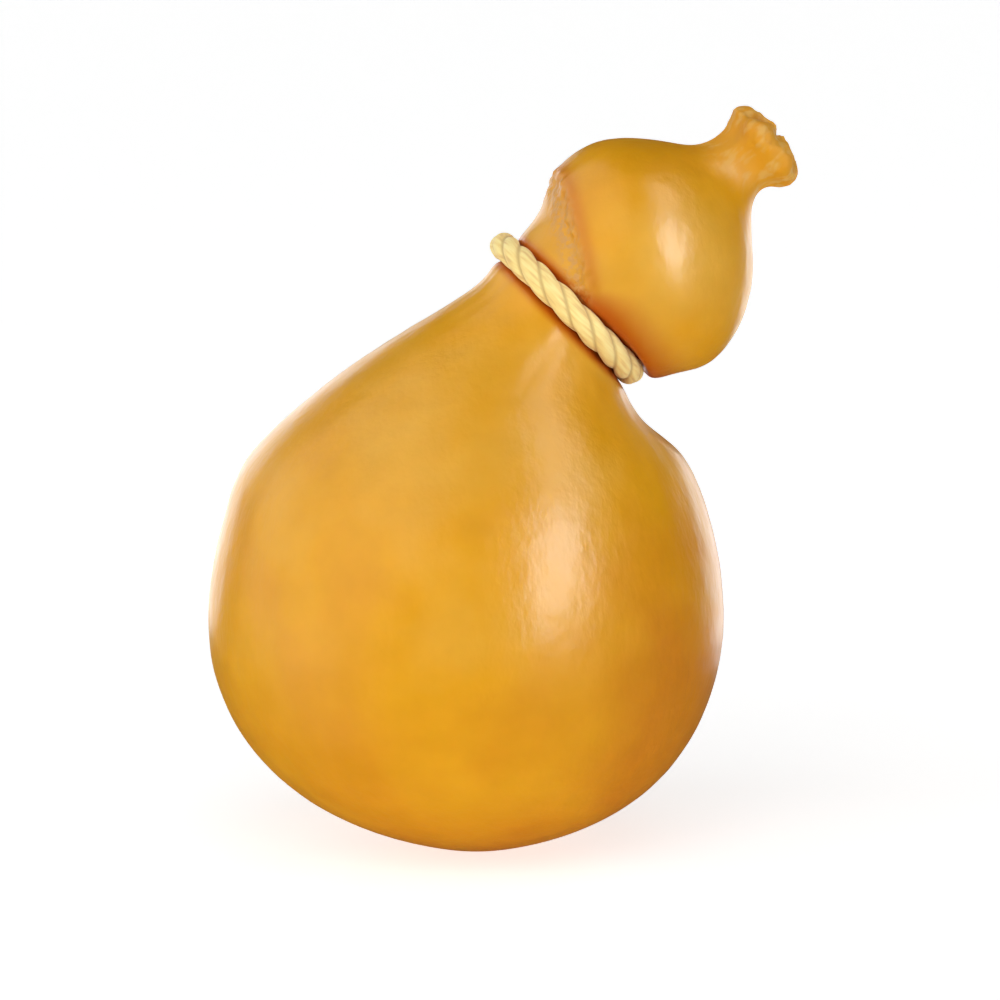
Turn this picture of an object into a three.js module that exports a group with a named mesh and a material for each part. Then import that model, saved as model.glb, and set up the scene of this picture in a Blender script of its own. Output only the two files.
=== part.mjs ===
// A smoked caciocavallo: a cheese of stretched curd that was hung by a rope while it dried and smoked.
// It has a round belly, a neck that leans over where the rope grips it, a ball of a head that sags over
// the rope, and a torn nub where the curd was pulled off. The rope is one closed ring of three strands.
// Millimetres, +Z up, +Y away from the front. The origin is the middle of the flat spot it rests on.
import * as THREE from 'three';
import { NURBSCurve } from 'three/addons/curves/NURBSCurve.js';

// Flat spot that it rests on.
const FOOT_RADIUS = 11;

// Sides of the body: (x, z) of the points that pull each curve, from the flat spot up to the neck.
const BODY_LEFT = [[-45.8, 6.5], [-80.2, 43.4], [-66.7, 94.9], [-62.7, 108.5], [-23, 139.9], [3.4, 152.2]];
const BODY_RIGHT = [[32.4, 4.6], [57.4, 21.3], [69.1, 54.7], [65.4, 85.8], [56, 111.2], [43.7, 113.7]];
const BODY_DEPTH_SHARE = 0.98;

// Neck: the middle of the rope's ring, and how far its axis leans to the right from straight up.
const NECK_X = 24.6;
const NECK_Z = 145.9;
const NECK_LEAN = 45;

// Rope: strands laid right-handed into a closed ring, pulled so tight that they are pressed together
// and fill a share of the furrows between them, with the clear gap that its groove leaves.
const ROPE_RING_RADIUS = 23.8;
const STRANDS = 3;
const STRAND_RADIUS = 1.92;
const STRAND_OFFSET = 1.83;
const STRANDS_PRESSED = 0.55;
const ROPE_TURNS = 17 / STRANDS;
const ROPE_GAP = 0.3;
const GROOVE_RADIUS = STRAND_OFFSET + STRAND_RADIUS + ROPE_GAP;
const GROOVE_LIFT_LEFT = 30;
const GROOVE_LIFT_RIGHT = 15;

// Lips of the rope's groove, as (along, across) beside the neck's axis.
const LOWER_LIP_LEFT = [-5.6, -22.3];
const LOWER_LIP_RIGHT = [-4.4, 26];
const UPPER_LIP_LEFT = [4.3, -22.5];
const UPPER_LIP_RIGHT = [4.3, 26];

// Sides of the head, told in the same way: the points that pull each curve, over the ball to the nub.
const HEAD_LEFT = [
  [15, -22.1], [19.5, -29], [32.7, -28.2], [41.2, -24.4],
  [50.1, -13.8], [55.6, -4.4], [65.3, -1.9], [68, -4.3],
];
const HEAD_RIGHT = [
  [-0.5, 29.2], [8.9, 32.8], [14.7, 38.7], [29.4, 37.9],
  [43.3, 29.2], [52.9, 15.5], [62.8, 13.8], [64.6, 20.8],
];
const RIM_LEFT = [69.6, -4.5];
const RIM_RIGHT = [67.8, 20.2];
const HEAD_DEPTH_SHARE = 0.97;
const HEAD_DEPTH_FROM = 0.2;
const NUB_DEPTH_SHARE = 0.86;

// Seam where the ball folds over the collar: its share of the head's length on the left and on the
// right, how far left of the middle it starts to climb and how sharply it bends there, and its depth.
const SEAM_SHARE = 0.155;
const SEAM_SHARE_RIGHT = 0.012;
const SEAM_BEND_AT = 0.12;
const SEAM_BEND_WIDTH = 0.1;
const SEAM_DEPTH = 0.9;

// Nub: folds that fan out from its waist to its rim, with broader ones among them.
const WAIST_AT = 0.78;
const FOLDS = 5;
const BROAD_FOLDS = 3;
const BROAD_FOLD_SHARE = 0.6;
const FOLD_DEPTH_SHARE = 0.09;

// Torn end of the nub: how far it swells out past the rim, and its lumps as a share of that.
const TORN_HEIGHT = 5.2;
const TORN_LUMPS = 4;
const TORN_LUMP_SHARE = 0.2;
const TORN_LUMP_TURN = 0.4;

// Mesh: sections of the body, the groove and the head, where those of the collar and the torn end
// lie, how much closer together they are near the seam, and points round a section and the rope.
const BODY_SECTIONS = 30;
const GROOVE_SECTIONS = 6;
const COLLAR_SHARES = [0, 0.45, 0.85];
const HEAD_SECTIONS = 24;
const HEAD_CROWDING = 1.15;
const TORN_SHARES = [0.93, 0.76, 0.52, 0.26];
const CHEESE_SIDES = 48;
const ROPE_SIDES = 15;
const ROPE_STEPS = 88;

const turn = 2 * Math.PI;
const { degToRad, lerp, smoothstep } = THREE.MathUtils;
const neckAxis = new THREE.Vector3(Math.sin(degToRad(NECK_LEAN)), 0, Math.cos(degToRad(NECK_LEAN)));
const neckSide = new THREE.Vector3(neckAxis.z, 0, -neckAxis.x);
const neckMiddle = new THREE.Vector3(NECK_X, 0, NECK_Z);

// A place in the plane y = 0.
const place = (x, z) => new THREE.Vector3(x, 0, z);

// A place in the same plane told from the neck: `along` its axis, and `across` it to the right.
const besideNeck = (along, across) => neckMiddle.clone()
  .addScaledVector(neckAxis, along)
  .addScaledVector(neckSide, across);

// A smooth curve that starts and ends on its end points and is pulled by those between.
function smoothCurve(points) {
  const degree = 3;
  const spans = points.length - degree;
  const inner = Array.from({ length: spans - 1 }, (_, index) => index + 1);
  const knots = [...Array(degree + 1).fill(0), ...inner, ...Array(degree + 1).fill(spans)];
  return new NURBSCurve(degree, knots, points);
}

// The rope's groove on one side of the neck: an arc round the rope that starts `lift` degrees
// above its mouth and ends as far short of it.
class GrooveCurve extends THREE.Curve {
  constructor(side, lift) {
    super();
    this.side = side;
    this.lift = lift;
  }

  getPoint(t) {
    const angle = degToRad(lerp(this.lift, 180 - this.lift, t));
    const reach = ROPE_RING_RADIUS - GROOVE_RADIUS * Math.sin(angle);
    return besideNeck(-GROOVE_RADIUS * Math.cos(angle), this.side * reach);
  }
}

const bodySide = (foot, pulls, lip) => smoothCurve([
  place(foot, 0), ...pulls.map((at) => place(...at)), besideNeck(...lip),
]);
const headSide = (lip, pulls, rim) => smoothCurve([lip, ...pulls, rim].map((at) => besideNeck(...at)));
const bodyLeft = bodySide(-FOOT_RADIUS, BODY_LEFT, LOWER_LIP_LEFT);
const bodyRight = bodySide(FOOT_RADIUS, BODY_RIGHT, LOWER_LIP_RIGHT);
const headLeft = headSide(UPPER_LIP_LEFT, HEAD_LEFT, RIM_LEFT);
const headRight = headSide(UPPER_LIP_RIGHT, HEAD_RIGHT, RIM_RIGHT);

// A ring of points. `pointAt` gives the one at an angle round from the right, negative on the front.
const ringOf = (pointAt) => Array.from(
  { length: CHEESE_SIDES },
  (_, side) => pointAt((turn * side) / CHEESE_SIDES),
);

// One point of the section whose diameter runs between the two curves at `t`.
function onSection(left, right, t, angle, depthShare, scale = 1) {
  const from = left.getPoint(t);
  const half = right.getPoint(t).sub(from).multiplyScalar(0.5);
  const point = from.add(half).addScaledVector(half, scale * Math.cos(angle));
  point.y = half.length() * scale * depthShare * Math.sin(angle);
  return point;
}

function bodyRings() {
  return Array.from({ length: BODY_SECTIONS + 1 }, (_, section) => {
    const t = section / BODY_SECTIONS;
    const depthShare = lerp(1, BODY_DEPTH_SHARE, Math.sin(Math.PI * t));
    return ringOf((angle) => onSection(bodyLeft, bodyRight, t, angle, depthShare));
  });
}

function grooveRings() {
  const left = new GrooveCurve(-1, GROOVE_LIFT_LEFT);
  const right = new GrooveCurve(1, GROOVE_LIFT_RIGHT);
  return Array.from({ length: GROOVE_SECTIONS + 1 }, (_, section) => (
    ringOf((angle) => onSection(left, right, section / GROOVE_SECTIONS, angle, 1))
  ));
}

// How far up the head the seam lies. It is high on the left and runs out at the rope in the middle
// of the front and of the back.
function seamAt(angle) {
  const toLeft = -Math.cos(angle) - SEAM_BEND_AT;
  const climb = (toLeft + Math.hypot(toLeft, SEAM_BEND_WIDTH)) / 2;
  return SEAM_SHARE_RIGHT + SEAM_SHARE * climb;
}

// The nub's folds, uneven in width and depth, as a share of its radius.
function folds(angle, t) {
  const narrow = Math.sin(FOLDS * angle);
  const broad = BROAD_FOLD_SHARE * Math.sin(BROAD_FOLDS * angle);
  return FOLD_DEPTH_SHARE * (narrow + broad) * smoothstep(t, WAIST_AT, 1);
}

function headRings() {
  const onHead = (t, angle, scale) => {
    const ballShare = lerp(1, HEAD_DEPTH_SHARE, smoothstep(t, 0, HEAD_DEPTH_FROM));
    const depthShare = lerp(ballShare, NUB_DEPTH_SHARE, t);
    return onSection(headLeft, headRight, t, angle, depthShare, scale + folds(angle, t));
  };
  const collar = COLLAR_SHARES.map((share) => (
    ringOf((angle) => onHead(seamAt(angle) * share, angle, 1))
  ));
  const seam = ringOf((angle) => {
    const depth = (SEAM_DEPTH * Math.max(-Math.cos(angle), 0)) / ROPE_RING_RADIUS;
    return onHead(seamAt(angle), angle, 1 - depth);
  });
  const ball = Array.from({ length: HEAD_SECTIONS }, (_, section) => {
    const share = ((section + 1) / HEAD_SECTIONS) ** HEAD_CROWDING;
    return ringOf((angle) => onHead(lerp(seamAt(angle), 1, share), angle, 1));
  });
  return [...collar, seam, ...ball];
}

// The nub's torn end: sections that shrink towards its middle while they rise in lumps.
function tornEnd(rim) {
  const middle = rim.reduce((sum, point) => sum.add(point), place(0, 0)).divideScalar(rim.length);
  const rings = TORN_SHARES.map((share) => rim.map((point, side) => {
    const angle = (turn * side) / CHEESE_SIDES;
    const lump = TORN_LUMP_SHARE * share * Math.cos(TORN_LUMPS * angle + TORN_LUMP_TURN);
    const rise = TORN_HEIGHT * Math.sqrt(1 - share * share) * (1 + lump);
    return middle.clone().lerp(point, share).addScaledVector(neckAxis, rise);
  }));
  return { rings, peak: middle.clone().addScaledVector(neckAxis, TORN_HEIGHT) };
}

// A closed body from rings of points, with a fan to `start` and to `end`, or, for a closed tube, with
// the last ring joined to the first one turned by `shift` points.
function ringMesh(rings, { start, end, shift }) {
  const sides = rings[0].length;
  const positions = rings.flat().flatMap((point) => point.toArray());
  const indices = [];
  const corner = (ring, side) => ring * sides + (side % sides);
  const addBand = (ring, next, turned) => {
    for (let side = 0; side < sides; side += 1) {
      const [a, b] = [corner(ring, side), corner(ring, side + 1)];
      const [c, d] = [corner(next, side + turned), corner(next, side + 1 + turned)];
      indices.push(a, b, d, a, d, c);
    }
  };
  const addFan = (hubPoint, ring, facesUp) => {
    const hub = positions.length / 3;
    positions.push(...hubPoint.toArray());
    for (let side = 0; side < sides; side += 1) {
      const [a, b] = [corner(ring, side), corner(ring, side + 1)];
      indices.push(...(facesUp ? [hub, a, b] : [hub, b, a]));
    }
  };
  for (let ring = 0; ring < rings.length - 1; ring += 1) {
    addBand(ring, ring + 1, 0);
  }
  if (shift === undefined) {
    addFan(start, 0, false);
    addFan(end, rings.length - 1, true);
  } else {
    addBand(rings.length - 1, 0, shift);
  }
  const geometry = new THREE.BufferGeometry();
  geometry.setAttribute('position', new THREE.Float32BufferAttribute(positions, 3));
  geometry.setIndex(indices);
  geometry.computeVertexNormals();
  return geometry;
}

function cheese() {
  const sides = [...bodyRings(), ...grooveRings(), ...headRings()];
  const torn = tornEnd(sides.at(-1));
  const geometry = ringMesh([...sides, ...torn.rings], { start: place(0, 0), end: torn.peak });
  const rind = new THREE.MeshStandardMaterial({ color: 0xd99a32, roughness: 0.38, metalness: 0 });
  const mesh = new THREE.Mesh(geometry, rind);
  mesh.name = 'cheese';
  return mesh;
}

// The rope's section at `angle` round itself from the middle of a strand: the strands' round backs,
// with the furrows between them partly filled.
function ropeRadius(angle) {
  const spread = turn / STRANDS;
  const fromStrand = angle - spread * Math.round(angle / spread);
  const sideways = STRAND_OFFSET * Math.sin(fromStrand);
  const back = Math.sqrt(STRAND_RADIUS ** 2 - sideways ** 2);
  const loose = STRAND_OFFSET * Math.cos(fromStrand) + back;
  const outermost = STRAND_OFFSET + STRAND_RADIUS;
  return loose + STRANDS_PRESSED * (outermost - loose);
}

function rope() {
  const rings = [];
  for (let step = 0; step < ROPE_STEPS; step += 1) {
    const round = (turn * step) / ROPE_STEPS;
    const outward = new THREE.Vector3(Math.cos(round), Math.sin(round), 0);
    const forward = new THREE.Vector3(-Math.sin(round), Math.cos(round), 0);
    const sideways = forward.clone().cross(outward);
    const centre = outward.clone().multiplyScalar(ROPE_RING_RADIUS);
    const ring = [];
    for (let side = 0; side < ROPE_SIDES; side += 1) {
      const angle = (turn * side) / ROPE_SIDES;
      const laid = angle + ROPE_TURNS * round;
      const radius = ropeRadius(angle);
      const point = centre.clone()
        .addScaledVector(outward, radius * Math.cos(laid))
        .addScaledVector(sideways, radius * Math.sin(laid));
      ring.push(point);
    }
    rings.push(ring);
  }
  const strandShift = ((ROPE_TURNS * STRANDS) % STRANDS) * (ROPE_SIDES / STRANDS);
  const geometry = ringMesh(rings, { shift: Math.round(strandShift) });
  const fibre = new THREE.MeshStandardMaterial({ color: 0xecd488, roughness: 0.9, metalness: 0 });
  const mesh = new THREE.Mesh(geometry, fibre);
  mesh.name = 'rope';
  mesh.position.set(NECK_X, 0, NECK_Z);
  mesh.rotation.y = degToRad(NECK_LEAN);
  return mesh;
}

const caciocavallo = new THREE.Group();
caciocavallo.name = 'smoked_caciocavallo';
caciocavallo.add(cheese(), rope());

export default caciocavallo;
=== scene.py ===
import math

import bpy
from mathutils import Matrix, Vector


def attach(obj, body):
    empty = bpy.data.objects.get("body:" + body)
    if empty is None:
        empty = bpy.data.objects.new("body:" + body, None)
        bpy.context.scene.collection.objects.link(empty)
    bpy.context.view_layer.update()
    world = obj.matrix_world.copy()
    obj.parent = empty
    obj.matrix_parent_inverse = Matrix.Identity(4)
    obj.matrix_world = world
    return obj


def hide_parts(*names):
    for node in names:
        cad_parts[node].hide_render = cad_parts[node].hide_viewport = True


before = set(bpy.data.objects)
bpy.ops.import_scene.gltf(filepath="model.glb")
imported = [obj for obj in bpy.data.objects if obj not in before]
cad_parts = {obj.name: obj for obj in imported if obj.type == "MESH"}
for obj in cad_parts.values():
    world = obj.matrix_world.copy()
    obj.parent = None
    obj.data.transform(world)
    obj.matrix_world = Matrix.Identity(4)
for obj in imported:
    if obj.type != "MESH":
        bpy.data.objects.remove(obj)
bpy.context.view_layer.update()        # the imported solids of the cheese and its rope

mm = 0.001
fullTurn = 2 * math.pi
bpy.ops.object.select_all(action="DESELECT")      # the load leaves the solids selected


def say(words):
    print("caciocavallo:", words)


def linear(hexColour):
    # sRGB hex to the linear colour that a shader socket takes
    values = [int(hexColour[i:i + 2], 16) / 255 for i in (1, 3, 5)]
    return [v / 12.92 if v <= 0.04045 else ((v + 0.055) / 1.055) ** 2.4 for v in values] + [1]


def ease(low, high, value):
    # 0 at low, 1 at high, soft in between
    share = min(max((value - low) / (high - low), 0), 1)
    return share * share * (3 - 2 * share)


def hump(middle, width, value):
    # 1 at the middle, fading to nothing two widths away
    return math.exp(-((value - middle) / width) ** 2)


def addNode(tree, kind, settings=None, sockets=None):
    # one node: each socket, named or numbered, takes a value or (node, output) as its link
    node = tree.nodes.new(kind)
    for name, value in (settings or {}).items():
        setattr(node, name, value)
    for name, value in (sockets or {}).items():
        if isinstance(value, tuple) and isinstance(value[0], bpy.types.Node):
            tree.links.new(value[0].outputs[value[1]], node.inputs[name])
        else:
            node.inputs[name].default_value = value
    return node


def newMaterial(name):
    material = bpy.data.materials.new(name)
    material.use_nodes = True
    material.node_tree.nodes.clear()
    return material, material.node_tree


def onlyThis(piece):
    bpy.ops.object.select_all(action="DESELECT")
    piece.select_set(True)
    bpy.context.view_layer.objects.active = piece


def addModifier(piece, name, kind, **settings):
    modifier = piece.modifiers.new(name, kind)
    for key, value in settings.items():
        setattr(modifier, key, value)
    return modifier


def applyModifiers(piece):
    onlyThis(piece)
    for modifier in list(piece.modifiers):
        bpy.ops.object.modifier_apply(modifier=modifier.name)


def paintGroup(piece, name, weightAt):
    # a vertex group that says how much of a push each place gets
    group = piece.vertex_groups.new(name=name)
    for vertex in piece.data.vertices:
        weight = weightAt(vertex.co)
        if weight > 0.002:
            group.add([vertex.index], min(weight, 1), "REPLACE")


def push(piece, name, height, size=None, middle=0.5, depth=1):
    # moves the group's places along their normals: by a cloud pattern of that size, or all alike
    settings = {"mid_level": 0}
    if size:
        texture = bpy.data.textures.new(name, "CLOUDS")
        texture.noise_scale = size * mm
        texture.noise_depth = depth
        settings = {"mid_level": middle, "texture": texture, "texture_coords": "LOCAL"}
    addModifier(piece, name, "DISPLACE", vertex_group=name, strength=height * mm, **settings)


# the neck leans over: its frame runs along its axis and across it, to the right
neck = {
    "x": 24.6, "z": 145.9,         # middle of the rope's ring, mm from the middle of the flat spot
    "lean": 45,                  # degrees from straight up
    "ringRadius": 23.8,
    "grooveRadius": 4.05,
}
lean = math.radians(neck["lean"])
neckMiddle = Vector((neck["x"], 0, neck["z"])) * mm
neckAxis = Vector((math.sin(lean), 0, math.cos(lean)))
neckSide = Vector((math.cos(lean), 0, -math.sin(lean)))


def besideNeck(along, across):
    return neckMiddle + neckAxis * along * mm + neckSide * across * mm


def fromNeck(place):
    # along the neck's axis, across it to the right, and behind it, in mm
    away = (place - neckMiddle) / mm
    return away.dot(neckAxis), away.dot(neckSide), away.y


def fromRope(place):
    # mm from the middle line of the rope's ring
    along, across, behind = fromNeck(place)
    return math.hypot(math.hypot(across, behind) - neck["ringRadius"], along)


cheeseShape = {
    "sides": 64,                 # points round a section before it is subdivided
    "footRadius": 11,
    "bodyLeft": [(-45.8, 6.5), (-80.2, 43.4), (-66.7, 94.9), (-62.7, 108.5), (-23, 139.9), (3.4, 152.2)],
    "bodyRight": [(32.4, 4.6), (57.4, 21.3), (69.1, 54.7), (65.4, 85.8), (56, 111.2), (43.7, 113.7)],
    "bodyDepth": 0.98,
    "bodySections": 28,
    "lowerLips": [(-5.6, -22.3), (-4.4, 26)],
    "grooveLift": [30, 15],      # degrees that the groove stays short of the rope's sides
    "grooveSections": 6,
    "upperLips": [(4.3, -22.5), (4.3, 26)],
    "headLeft": [(15, -22.1), (19.5, -29), (32.7, -28.2), (41.2, -24.4),
                 (50.1, -13.8), (55.6, -4.4), (65.3, -1.9), (68, -4.3)],
    "headRight": [(-0.5, 29.2), (8.9, 32.8), (14.7, 38.7), (29.4, 37.9),
                  (43.3, 29.2), (52.9, 15.5), (62.8, 13.8), (64.6, 20.8)],
    "rims": [(69.8, -5), (67.8, 20.2)],
    "headDepth": 0.97,
    "nubDepth": 0.86,
    "headSections": 30,
    "tornHeight": 4.4,
    "seamRise": 2.35, "seamTilt": 0.685,    # the seam climbs to the left from the rope in front
    "folds": 5, "waist": 52,     # the nub's folds fan out from its waist
}


def pulledCurve(pulls, share):
    # cubic spline that starts and ends on its end points and is pulled by those between
    spans = len(pulls) - 3
    knots = [0] * 4 + list(range(1, spans)) + [spans] * 4
    at = min(share, 0.999999) * spans
    span = int(at) + 3
    points = [pulls[span - 3 + i].copy() for i in range(4)]
    for level in range(1, 4):
        for i in range(3, level - 1, -1):
            low, high = knots[span - 3 + i], knots[span + 1 + i - level]
            points[i] = points[i - 1].lerp(points[i], (at - low) / (high - low))
    return points[3]


def grooveSide(side, lift, share):
    angle = math.radians(lift + (180 - 2 * lift) * share)
    reach = neck["ringRadius"] - neck["grooveRadius"] * math.sin(angle)
    return besideNeck(-neck["grooveRadius"] * math.cos(angle), side * reach)


def cheeseSections():
    # from the flat spot to the nub's rim: left end, right end, and depth as a share of the width
    shape = cheeseShape
    bodySides = [
        [Vector((side * shape["footRadius"] * mm, 0, 0))]
        + [Vector((x, 0, z)) * mm for x, z in shape[pulls]]
        + [besideNeck(*lip)]
        for side, pulls, lip in zip((-1, 1), ("bodyLeft", "bodyRight"), shape["lowerLips"])
    ]
    headSides = [
        [besideNeck(*at) for at in [lip] + shape[pulls] + [rim]]
        for pulls, lip, rim in zip(("headLeft", "headRight"), shape["upperLips"], shape["rims"])
    ]
    sections = []
    for i in range(shape["bodySections"] + 1):
        share = i / shape["bodySections"]
        depth = 1 + (shape["bodyDepth"] - 1) * math.sin(math.pi * share)
        sections.append([pulledCurve(pulls, share) for pulls in bodySides] + [depth])
    for i in range(shape["grooveSections"] + 1):
        share = i / shape["grooveSections"]
        ends = [grooveSide(side, lift, share) for side, lift in zip((-1, 1), shape["grooveLift"])]
        sections.append(ends + [1])
    for i in range(shape["headSections"] + 1):
        share = i / shape["headSections"]
        ball = 1 + (shape["headDepth"] - 1) * ease(0, 0.2, share)
        depth = ball + (shape["nubDepth"] - ball) * share
        sections.append([pulledCurve(pulls, share) for pulls in headSides] + [depth])
    return sections


def asRing(section):
    # middle, half width, tilt from level and depth of a section
    left, right, depth = section
    half = (right - left) / 2
    return {"middle": (left + right) / 2, "half": half.length, "tilt": math.atan2(half.z, half.x),
            "depth": depth}


def extrudeOn(now, then):
    # the selected ring grows on to the next section; rotate turns the other way without a window
    grow = then["half"] / now["half"]
    deepen = grow * then["depth"] / now["depth"]
    bpy.ops.mesh.extrude_region_move()
    bpy.ops.transform.rotate(value=-now["tilt"], orient_axis="Y", center_override=now["middle"])
    bpy.ops.transform.resize(value=(grow, deepen, grow), center_override=now["middle"])
    bpy.ops.transform.rotate(value=then["tilt"], orient_axis="Y", center_override=now["middle"])
    bpy.ops.transform.translate(value=then["middle"] - now["middle"])


def modelCheese():
    rings = [asRing(section) for section in cheeseSections()]
    bpy.ops.mesh.primitive_circle_add(vertices=cheeseShape["sides"], radius=rings[0]["half"])
    piece = bpy.context.object
    piece.name = "smokedCheese"
    bpy.ops.object.mode_set(mode="EDIT")
    bpy.ops.mesh.select_all(action="SELECT")
    for now, then in zip(rings, rings[1:]):
        extrudeOn(now, then)
    # the torn end closes in steps that rise like a cushion
    rim = rings[-1]
    last, lastRise = 1, 0
    for share in (0.93, 0.76, 0.52, 0.26):
        rise = cheeseShape["tornHeight"] * math.sqrt(1 - share * share) * mm
        hub = rim["middle"] + neckAxis * lastRise
        bpy.ops.mesh.extrude_region_move()
        bpy.ops.transform.resize(value=[share / last] * 3, center_override=hub)
        bpy.ops.transform.translate(value=neckAxis * (rise - lastRise))
        last, lastRise = share, rise
    bpy.ops.mesh.edge_face_add()
    # the flat spot closes in rings that stay level
    bpy.ops.mesh.select_all(action="DESELECT")
    bpy.ops.object.mode_set(mode="OBJECT")
    for vertex in piece.data.vertices:
        vertex.select = vertex.co.z < 1e-6
    for edge in piece.data.edges:
        edge.select = all(piece.data.vertices[i].select for i in edge.vertices)
    bpy.ops.object.mode_set(mode="EDIT")
    for share in (0.8, 0.6, 0.5):
        bpy.ops.mesh.extrude_region_move()
        bpy.ops.transform.resize(value=(share, share, 1), center_override=(0, 0, 0))
    bpy.ops.mesh.edge_face_add()
    bpy.ops.mesh.select_all(action="SELECT")
    bpy.ops.mesh.normals_make_consistent(inside=False)
    bpy.ops.object.mode_set(mode="OBJECT")
    addModifier(piece, "round", "SUBSURF", levels=2, render_levels=2)
    applyModifiers(piece)
    return piece


def fromSeam(place):
    # mm above the seam, and how much of a seam there is: it runs out at the rope in front and behind
    along, across, behind = fromNeck(place)
    tilt = cheeseShape["seamTilt"]
    above = (along - cheeseShape["seamRise"] + tilt * across) / math.hypot(1, tilt)
    return above, ease(8, -6, across) * ease(2, 5, along)


def foldsAt(place):
    # the nub's folds, -1 to 1, uneven in width and depth, fanning out from its waist
    along, across, behind = fromNeck(place)
    if along < cheeseShape["waist"]:
        return 0
    angle = math.atan2(behind, across - 7)
    wave = (math.sin(cheeseShape["folds"] * angle) + 0.6 * math.sin(3 * angle)) / 1.6
    return wave * ease(cheeseShape["waist"], 68, along)


cheeseWear = {
    # how far each push moves the surface out, and how large its lumps are, both in mm
    "unevenness": {"height": 0.5, "size": 38},
    "dimples": {"height": 0.26, "size": 8, "middle": 0.55},
    "pleats": {"height": -0.18},
    "seamRoll": {"height": 0.35},
    "seamLumps": {"height": 2, "size": 2.5},
    "seamGap": {"height": -0.5},
    "foldsOut": {"height": 1.3},
    "foldsIn": {"height": -1.3},
    "tornLumps": {"height": 1.9, "size": 4.5, "middle": 0.55, "depth": 2},
}


def wearCheese(piece):
    # what the stretching, tying and drying left on the surface
    def onRind(place):
        return ease(3, 14, place.z / mm) * ease(5, 10, fromRope(place))

    def pleats(place):
        # creases that the tie squeezes into the curd, running down from the rope
        along, across, behind = fromNeck(place)
        angle = math.atan2(behind, across)
        pleat = 0.5 + 0.3 * math.sin(19 * angle + 1.5 * math.sin(4 * angle)) + 0.2 * math.sin(31 * angle)
        return pleat * ease(-34, -10, along) * ease(-3.5, -6, along)

    def seamGap(place):
        above, share = fromSeam(place)
        return hump(0.2, 1.1, above) * share

    def seamRoll(place):
        above, share = fromSeam(place)
        return (hump(2.4, 1.3, above) + 0.3 * hump(-1.9, 1, above)) * share

    def seamLumps(place):
        above, share = fromSeam(place)
        return hump(0.7, 2, above) * share

    def tornEnd(place):
        along, across, behind = fromNeck(place)
        return ease(60, 70, along)

    where = {
        "unevenness": onRind, "dimples": onRind, "pleats": pleats,
        "seamRoll": seamRoll, "seamLumps": seamLumps, "seamGap": seamGap,
        "foldsOut": lambda place: max(foldsAt(place), 0),
        "foldsIn": lambda place: max(-foldsAt(place), 0),
        "tornLumps": tornEnd,
    }
    for name, settings in cheeseWear.items():
        paintGroup(piece, name, where[name])
        push(piece, name, **settings)
    applyModifiers(piece)


def tintCheese(piece):
    # red for the dry band of the seam, green for painted shade beside the rope and a darker fold above the
    # seam, blue for the
    # nub, and alpha for the tone: palest in the head's middle, partly its own colour and partly painted
    # sheen, deeper lower down, and deepest low on the right and at the bottom, where it is painted shade
    tints = piece.data.color_attributes.new("tints", "FLOAT_COLOR", "POINT")
    for vertex in piece.data.vertices:
        above, share = fromSeam(vertex.co)
        along, across, behind = fromNeck(vertex.co)
        seam = share * hump(-0.8, 2.5, above)
        fold = share * hump(3.2, 2, above)
        # painted shade beside the rope, reaching wider where the head overhangs it on the right, and a darker
        # fold above the seam
        reach = 7 + 11 * ease(0, 3, along) * ease(-8, 8, across)
        ropeShadeAndFold = max(1 - ease(4, reach, fromRope(vertex.co)), 0.45 * fold)
        nub = ease(51, 62, along)
        x, z = vertex.co.x / mm, vertex.co.z / mm
        # painted shade: how much the lower right, the side away from the light, is deepened
        rightShade = ease(12, 48, x) * ease(120, 80, z) * (0.5 + 0.5 * ease(80, 40, z))
        # deeper lower down and paler high on the body
        smokeShadeAndSheen = 0.5 + 0.1 * ease(70, 35, z) - 0.1 * ease(85, 125, z)
        # darker towards the head and palest in its middle: partly its own colour, partly painted sheen
        smokeShadeAndSheen += 0.17 * ease(8, 20, along) - 0.45 * hump(27, 16, along) * hump(6, 20, across)
        # painted shade deepens the lower right and the bottom
        smokeShadeAndSheen += max(0.5 * rightShade, 0.3 * ease(28, 3, z))
        tints.data[vertex.index].color = (seam, ropeShadeAndFold, nub, smokeShadeAndSheen)


cheese = modelCheese()
wearCheese(cheese)
tintCheese(cheese)
cheese.vertex_groups.clear()
onlyThis(cheese)
bpy.ops.object.shade_smooth()
say("cheese modelled, %d faces" % len(cheese.data.polygons))


rindLook = {
    "ior": 1.45,                 # milk fat and casein, close to a wax
    "specular": 0.15,            # a dry skin shines far less than wet curd
    "roughness": (0.29, 0.35),
    "dullSeam": 0.12, "dullNub": 0.4,        # added to the roughness there
    "unevenSmoke": 0.14, "cloudiness": 0.03,
    "pale": "#dba946", "gold": "#d69710", "deep": "#c57a0b",      # from little to much smoke, with painted shade at the deep end and painted sheen at the pale end
    # the third colour here is painted shade beside the rope, also used in the darker fold above the seam
    "seam": "#c6914a", "nub": "#d5a650", "ropeShadeAndFold": "#b4520a",
    "patches": 30, "clouds": 9, "spots": 2.6, "wrinkles": 2.4, "crumbs": 1.5, "grain": 0.8,      # mm
    "stretch": 0.55,             # of the wrinkles, which run up and down the hanging cheese
    "streak": 2.4,               # how much longer than wide the nub's spots are, along the pull
}


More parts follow.
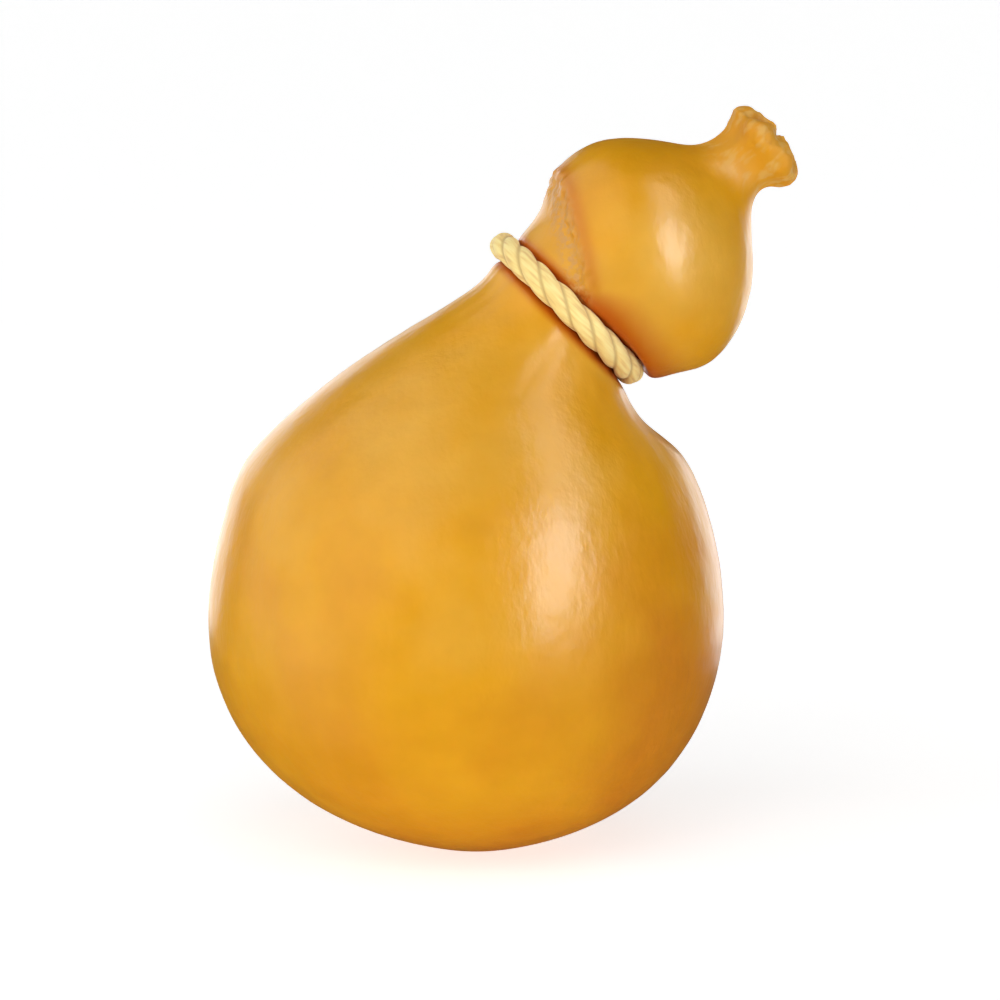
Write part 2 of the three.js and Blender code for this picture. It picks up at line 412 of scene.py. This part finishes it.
def smokedRind():
    # stretched-curd rind cured in smoke, dried and oiled by its own fat: a waxy gold skin that light sinks
    # into a little, deeper where more smoke reached it and where shade is painted in, with broad dull
    # highlights and fine wrinkles
    look = rindLook
    material, tree = newMaterial("smokedRind")
    place = addNode(tree, "ShaderNodeTexCoord")
    hung = addNode(tree, "ShaderNodeMapping", None,
                   {"Vector": (place, "Object"), "Scale": (1, 1, look["stretch"])})
    torn = addNode(tree, "ShaderNodeMapping", {"vector_type": "TEXTURE"}, {
        "Vector": (place, "Object"), "Rotation": (0, lean, 0), "Scale": (1, 1, look["streak"])})
    vectors = {"wrinkles": (hung, "Vector"), "spots": (torn, "Vector")}
    noises = {}
    for name in ("patches", "clouds", "spots", "wrinkles", "crumbs", "grain"):
        noises[name] = addNode(tree, "ShaderNodeTexNoise", None, {
            "Vector": vectors.get(name, (place, "Object")), "Scale": 1000 / look[name], "Detail": 2.0})
    tints = addNode(tree, "ShaderNodeAttribute", {"attribute_name": "tints"})
    uneven = addNode(tree, "ShaderNodeMapRange", None, {
        "Value": (noises["patches"], "Fac"), "From Min": 0.3, "From Max": 0.7,
        "To Min": -look["unevenSmoke"], "To Max": look["unevenSmoke"]})
    # the tone: the tints' alpha with random patches of smoke; its deep end also carries painted shade, its
    # pale end painted sheen
    smokeShadeAndSheen = addNode(tree, "ShaderNodeMath", {"operation": "ADD"},
                     {0: (tints, "Alpha"), 1: (uneven, "Result")})
    base = addNode(tree, "ShaderNodeValToRGB", None, {"Fac": (smokeShadeAndSheen, "Value")})
    base.color_ramp.elements[0].color = linear(look["pale"])
    base.color_ramp.elements[1].color = linear(look["deep"])
    base.color_ramp.elements.new(0.5).color = linear(look["gold"])
    cloudy = addNode(tree, "ShaderNodeMapRange", None, {
        "Value": (noises["clouds"], "Fac"), "From Min": 0.3, "From Max": 0.7,
        "To Min": 1 - look["cloudiness"], "To Max": 1 + look["cloudiness"]})
    colour = addNode(tree, "ShaderNodeMix", {"data_type": "RGBA", "blend_type": "MULTIPLY"},
                     {0: 1.0, 6: (base, "Color"), 7: (cloudy, "Result")})
    tint = addNode(tree, "ShaderNodeSeparateColor", None, {"Color": (tints, "Color")})
    broken = addNode(tree, "ShaderNodeMapRange", None, {
        "Value": (noises["crumbs"], "Fac"), "From Min": 0.4, "From Max": 0.58, "To Min": 0.15, "To Max": 1})
    spotted = addNode(tree, "ShaderNodeMapRange", None, {
        "Value": (noises["spots"], "Fac"), "From Min": 0.48, "From Max": 0.66, "To Min": 0, "To Max": 0.75})
    # green mixes in painted shade beside the rope and the darker fold, red the seam band, blue the nub's
    # spots
    for channel, finish, pattern in (("Green", "ropeShadeAndFold", 1), ("Red", "seam", (broken, "Result")),
                                     ("Blue", "nub", (spotted, "Result"))):
        share = addNode(tree, "ShaderNodeMath", {"operation": "MULTIPLY"}, {0: (tint, channel), 1: pattern})
        colour = addNode(tree, "ShaderNodeMix", {"data_type": "RGBA"},
                         {0: (share, "Value"), 6: (colour, 2), 7: linear(look[finish])})
    rough = addNode(tree, "ShaderNodeMapRange", None, {
        "Value": (noises["clouds"], "Fac"), "From Min": 0.3, "From Max": 0.7,
        "To Min": look["roughness"][0], "To Max": look["roughness"][1]})
    for channel, duller in (("Red", look["dullSeam"]), ("Blue", look["dullNub"])):
        more = addNode(tree, "ShaderNodeMath", {"operation": "MULTIPLY"}, {0: (tint, channel), 1: duller})
        previous = (rough, "Result" if channel == "Red" else "Value")
        rough = addNode(tree, "ShaderNodeMath", {"operation": "ADD"}, {0: previous, 1: (more, "Value")})
    crumbly = addNode(tree, "ShaderNodeMath", {"operation": "MULTIPLY"},
                      {0: (noises["crumbs"], "Fac"), 1: (tint, "Red")})
    rub = addNode(tree, "ShaderNodeBump", None, {
        "Height": (crumbly, "Value"), "Strength": 0.6, "Distance": 0.0008})
    fine = addNode(tree, "ShaderNodeBump", None, {
        "Height": (noises["grain"], "Fac"), "Strength": 0.05, "Distance": 0.0002, "Normal": (rub, "Normal")})
    bump = addNode(tree, "ShaderNodeBump", None, {
        "Height": (noises["wrinkles"], "Fac"), "Strength": 0.32, "Distance": 0.0004,
        "Normal": (fine, "Normal")})
    shader = addNode(tree, "ShaderNodeBsdfPrincipled", None, {
        "Base Color": (colour, 2), "Roughness": (rough, "Value"), "IOR": look["ior"],
        "Specular IOR Level": look["specular"], "Normal": (bump, "Normal"), "Subsurface Weight": 0.2,
        "Subsurface Radius": (1.0, 0.45, 0.12), "Subsurface Scale": 0.004,
    })
    addNode(tree, "ShaderNodeOutputMaterial", None, {"Surface": (shader, "BSDF")})
    return material


cheese.data.materials.append(smokedRind())
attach(cheese, "root")
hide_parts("cheese")


ropeShape = {
    "strands": 3,
    "strandRadius": 1.92, "strandOffset": 1.83,      # mm, each strand round the rope's own middle
    "pressed": 0.55,             # share of the grooves that the strands fill, pulled tight together
    "pointsPerStrand": 16,
    "turns": 17 / 3,             # of the lay, once round the ring, right-handed
    "steps": 272,
}


def lobeRadius(angle):
    # the rope's section at that angle from the middle of a strand's round back
    offset, radius = ropeShape["strandOffset"], ropeShape["strandRadius"]
    loose = offset * math.cos(angle) + math.sqrt(radius ** 2 - (offset * math.sin(angle)) ** 2)
    return ropeShape["pressed"] * (offset + radius) + (1 - ropeShape["pressed"]) * loose


def modelRope():
    ringRadius = neck["ringRadius"] * mm
    spread = fullTurn / ropeShape["strands"]
    bpy.ops.mesh.primitive_circle_add(vertices=ropeShape["strands"] * ropeShape["pointsPerStrand"], radius=mm)
    piece = bpy.context.object
    piece.name = "laidRope"
    # the circle is pulled out to three lobes, the same points of every strand at once
    angles = [math.atan2(vertex.co.y, vertex.co.x) for vertex in piece.data.vertices]
    offsets = [round(abs(angle - spread * round(angle / spread)), 4) for angle in angles]
    for offset in sorted(set(offsets)):
        for edge in piece.data.edges:
            edge.select = False
        for vertex, own in zip(piece.data.vertices, offsets):
            vertex.select = own == offset
        bpy.ops.object.mode_set(mode="EDIT")
        bpy.ops.transform.resize(value=[lobeRadius(offset)] * 3, center_override=(0, 0, 0))
        bpy.ops.object.mode_set(mode="OBJECT")
    meeting = piece.vertex_groups.new(name="meeting")
    for index, offset in enumerate(offsets):
        meeting.add([index], ease(0.5 * spread - 0.32, 0.5 * spread, offset), "REPLACE")
    # laid by a screw, then bent round the neck
    addModifier(piece, "lay", "SCREW", axis="Z", angle=fullTurn * ropeShape["turns"],
                screw_offset=fullTurn * ringRadius, steps=ropeShape["steps"], render_steps=ropeShape["steps"])
    applyModifiers(piece)
    bpy.ops.curve.primitive_bezier_circle_add(radius=ringRadius)
    ring = bpy.context.object
    ring.data.resolution_u = 96
    addModifier(piece, "bend", "CURVE", object=ring, deform_axis="POS_Z")
    applyModifiers(piece)
    bpy.data.objects.remove(ring)
    bpy.ops.object.mode_set(mode="EDIT")
    bpy.ops.mesh.select_all(action="SELECT")
    bpy.ops.mesh.remove_doubles(threshold=0.1 * mm)
    bpy.ops.mesh.normals_make_consistent(inside=False)
    bpy.ops.object.mode_set(mode="OBJECT")
    return piece


def layUv(piece):
    # u runs along the rope and v round it, both in mm, so that the yarns can follow the lay
    uv = piece.data.uv_layers.new(name="lay")
    ringRadius = neck["ringRadius"] * mm

    def anglesAt(place):
        out = math.hypot(place.x, place.y) - ringRadius
        return math.atan2(place.y, place.x), math.atan2(-place.z, out)

    for face in piece.data.polygons:
        middle = anglesAt(face.center)
        for loop, corner in zip(face.loop_indices, face.vertices):
            here = anglesAt(piece.data.vertices[corner].co)
            ringAngle, ownAngle = (m + (h - m + math.pi) % fullTurn - math.pi for m, h in zip(middle, here))
            uv.data[loop].uv = (ringAngle * neck["ringRadius"], ownAngle * 3)


def placeOnNeck(piece):
    onlyThis(piece)
    piece.rotation_euler = (0, lean, 0)
    piece.location = neckMiddle
    bpy.ops.object.transform_apply(location=True, rotation=True, scale=True)


def tintRope(piece):
    # how near a place is to where two strands meet
    meeting = piece.vertex_groups["meeting"].index
    tints = piece.data.color_attributes.new("tints", "FLOAT_COLOR", "POINT")
    for vertex in piece.data.vertices:
        share = sum(group.weight for group in vertex.groups if group.group == meeting)
        tints.data[vertex.index].color = (share, share, share, 1)


rope = modelRope()
layUv(rope)
tintRope(rope)
paintGroup(rope, "handmade", lambda place: 1)
push(rope, "handmade", 0.35, size=5, middle=0.6)
applyModifiers(rope)
rope.vertex_groups.clear()
placeOnNeck(rope)
bpy.ops.object.shade_smooth()
say("rope laid, %d faces" % len(rope.data.polygons))


fibreLook = {
    "pale": "#f5df90", "straw": "#edce7c", "dark": "#d6b06c",
    "meeting": "#c8a964",        # shade and dust where two strands meet
    "yarn": 0.9,                 # mm between the yarns of a strand
    "hair": 0.25,                # mm between the hairs of a yarn
}


def ropeFibre():
    # natural straw-coloured bast rope, laid by hand: dull and matt, with hairs along its yarns
    look = fibreLook
    material, tree = newMaterial("ropeFibre")
    uv = addNode(tree, "ShaderNodeUVMap", {"uv_map": "lay"})
    along = addNode(tree, "ShaderNodeMapping", None, {
        "Vector": (uv, "UV"), "Scale": (0.12, 1, 1), "Rotation": (0, 0, math.radians(-14))})
    yarns = addNode(tree, "ShaderNodeTexNoise", None,
                    {"Vector": (along, "Vector"), "Scale": 1 / look["yarn"], "Detail": 1.0})
    hairs = addNode(tree, "ShaderNodeTexNoise", None,
                    {"Vector": (along, "Vector"), "Scale": 1 / look["hair"], "Detail": 2.0})
    base = addNode(tree, "ShaderNodeValToRGB", None, {"Fac": (yarns, "Fac")})
    base.color_ramp.elements[0].position = 0.25
    base.color_ramp.elements[0].color = linear(look["dark"])
    base.color_ramp.elements[1].position = 0.6
    base.color_ramp.elements[1].color = linear(look["pale"])
    base.color_ramp.elements.new(0.42).color = linear(look["straw"])
    tints = addNode(tree, "ShaderNodeAttribute", {"attribute_name": "tints"})
    colour = addNode(tree, "ShaderNodeMix", {"data_type": "RGBA"},
                     {0: (tints, "Fac"), 6: (base, "Color"), 7: linear(look["meeting"])})
    coarse = addNode(tree, "ShaderNodeBump", None, {
        "Height": (yarns, "Fac"), "Strength": 0.22, "Distance": 0.0005})
    fine = addNode(tree, "ShaderNodeBump", None, {
        "Height": (hairs, "Fac"), "Strength": 0.3, "Distance": 0.0002, "Normal": (coarse, "Normal")})
    shader = addNode(tree, "ShaderNodeBsdfPrincipled", None, {
        "Base Color": (colour, 2), "Roughness": 0.85, "Normal": (fine, "Normal"),
        "Sheen Weight": 0.15, "Sheen Roughness": 0.5, "Specular IOR Level": 0.3,
    })
    addNode(tree, "ShaderNodeOutputMaterial", None, {"Surface": (shader, "BSDF")})
    return material


rope.data.materials.append(ropeFibre())
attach(rope, "root")
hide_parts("rope")


studio = {
    "floor": "#c4c4c4", "floorGlow": 0.71,   # an opal light table
    "azimuth": -7, "elevation": 8,           # of the camera, degrees
    "distance": 1400,                        # mm to the flat spot
    "pictureWidth": 271.77,                  # mm across the picture at that distance
    "toRight": 6.52, "upwards": 93.49,       # mm from the flat spot to the middle of the picture
    "ambient": 0.04,
}


def addFloor():
    # plain white opal sheet lit from below
    bpy.ops.mesh.primitive_plane_add(size=12)
    floor = bpy.context.object
    floor.name = "floor"
    material, tree = newMaterial("opalTable")
    shader = addNode(tree, "ShaderNodeBsdfPrincipled", None, {
        "Base Color": linear(studio["floor"]), "Roughness": 0.3, "Specular IOR Level": 0.1,
        "Emission Color": linear("#ffffff"), "Emission Strength": studio["floorGlow"],
    })
    addNode(tree, "ShaderNodeOutputMaterial", None, {"Surface": (shader, "BSDF")})
    floor.data.materials.append(material)
    floor.visible_glossy = False             # a dull sheet, kept out of the rind's shine
    floor.visible_shadow = False             # the low lamps behind shine up through it


def towards(azimuth, elevation):
    # a direction out from the cheese: degrees to the right of the front, and up
    turn, rise = math.radians(azimuth), math.radians(elevation)
    return Vector((math.sin(turn) * math.cos(rise), -math.cos(turn) * math.cos(rise), math.sin(rise)))


def addLamp(kind, name, azimuth, elevation, distance, strength, seenIn):
    aim = Vector((0, 0, 0.1))
    out = towards(azimuth, elevation)
    bpy.ops.object.light_add(type=kind, location=aim + out * distance,
                             rotation=(-out).to_track_quat("-Z", "Y").to_euler())
    lamp = bpy.context.object
    lamp.name = name
    lamp.data.energy = strength
    lamp.visible_diffuse = "diffuse" in seenIn
    lamp.visible_glossy = "glossy" in seenIn
    lamp.visible_camera = False
    return lamp.data


def addSky(name, azimuth, elevation, spread, strength, seenIn):
    # a far, large and soft source: angles in degrees, spread is how wide it looks
    addLamp("SUN", name, azimuth, elevation, 3, strength, seenIn).angle = math.radians(spread)


def addSoftbox(name, azimuth, elevation, distance, width, height, watts, shape="RECTANGLE", roll=0):
    # a box that only the sheen shows: degrees and metres, roll leans its top to the cheese's right
    lamp = addLamp("AREA", name, azimuth, elevation, distance, watts, "glossy")
    lamp.shape = shape
    lamp.size, lamp.size_y = width, height
    bpy.context.object.rotation_euler.rotate_axis("Z", -math.radians(roll))


def addCamera():
    out = towards(studio["azimuth"], studio["elevation"])
    right = Vector((-out.y, out.x, 0)).normalized()
    up = out.cross(right)
    place = (right * studio["toRight"] + up * studio["upwards"] + out * studio["distance"]) * mm
    bpy.ops.object.camera_add(location=place, rotation=(-out).to_track_quat("-Z", "Y").to_euler())
    camera = bpy.context.object
    camera.data.sensor_width = 36
    camera.data.lens = 36 * studio["distance"] / studio["pictureWidth"]
    camera.data.clip_end = 20
    bpy.context.scene.camera = camera


def addWorld():
    world = bpy.data.worlds.new("studio")
    bpy.context.scene.world = world
    world.use_nodes = True
    backdrop = world.node_tree.nodes["Background"]
    backdrop.inputs["Color"].default_value = (1, 1, 1, 1)
    backdrop.inputs["Strength"].default_value = studio["ambient"]


addFloor()
addCamera()
addWorld()
addSky("leftKey", -50, 34, 60, 1.15, "diffuse glossy")
addSky("leftSheen", -82, 32, 98, 5.5, "glossy")
addSky("leftBounce", -78, -25, 50, 0.6, "glossy")
addSky("frontFill", -12, 28, 50, 0.78, "diffuse")
addSky("topLight", 15, 60, 50, 0.86, "diffuse")
addSky("leftRim", -152, 4, 50, 0.65, "diffuse")
addSoftbox("leftShine", -162, 4, 1.3, 0.7, 0.68, 4.5)
addSky("rightRim", 147, 8, 36, 0.95, "diffuse")
addSoftbox("rightShine", 142, -3, 1.3, 0.66, 0.5, 3.4)
addSoftbox("highlight", 36.5, 19, 1.4, 0.52, 1.45, 74, shape="ELLIPSE", roll=22)
addSoftbox("upperHighlight", 64, 57, 1.4, 0.5, 0.6, 11, roll=30)
bpy.context.scene.view_settings.view_transform = "Standard"
say("studio set")
